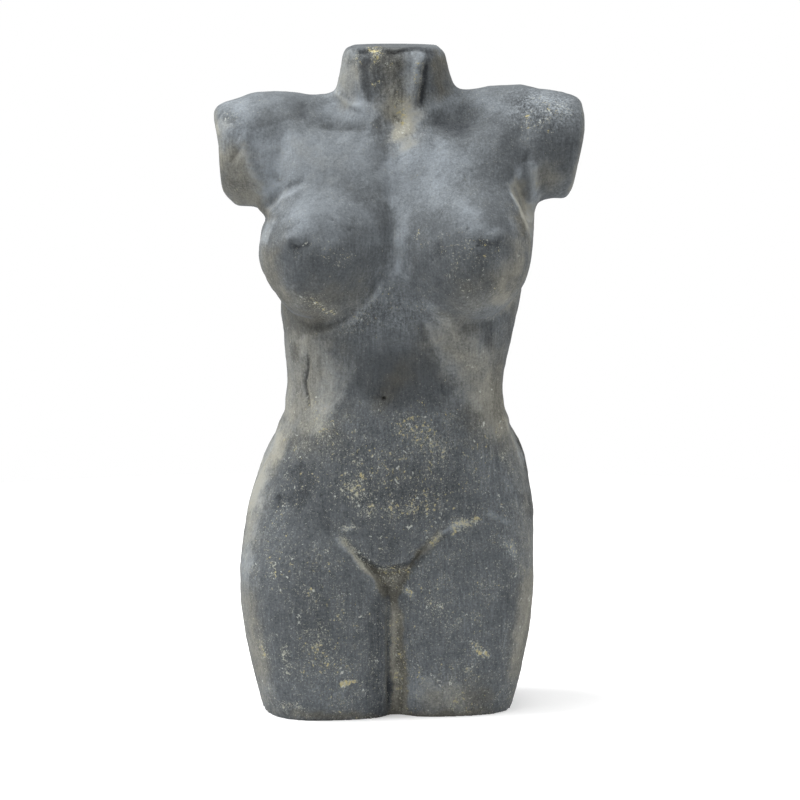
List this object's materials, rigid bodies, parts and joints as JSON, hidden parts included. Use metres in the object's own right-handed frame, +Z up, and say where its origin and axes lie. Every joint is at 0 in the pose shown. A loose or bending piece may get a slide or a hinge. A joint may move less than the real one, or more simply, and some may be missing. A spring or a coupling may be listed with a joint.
{
  "type": "torso sculpture",
  "caption": "Female torso sculpture, neck to upper thighs, without head, arms or lower legs, in dark lava stone, standing on its flat underside.",
  "frame": {"origin": "on the underside, in the middle of the figure's width and depth", "axes": "+Z up, -Y the way the figure faces, +X towards the figure's own left side"},
  "size_m": [0.3882, 0.2312, 0.6991],
  "materials": {
    "lava_stone": "matt dark blue-grey wash over sandy stone, worn to a pale grey-brown dust at the edges, with small cream specks and pinholes"
  },
  "bodies": {
    "root": {"torso": "lava_stone"}
  },
  "joints": []
}
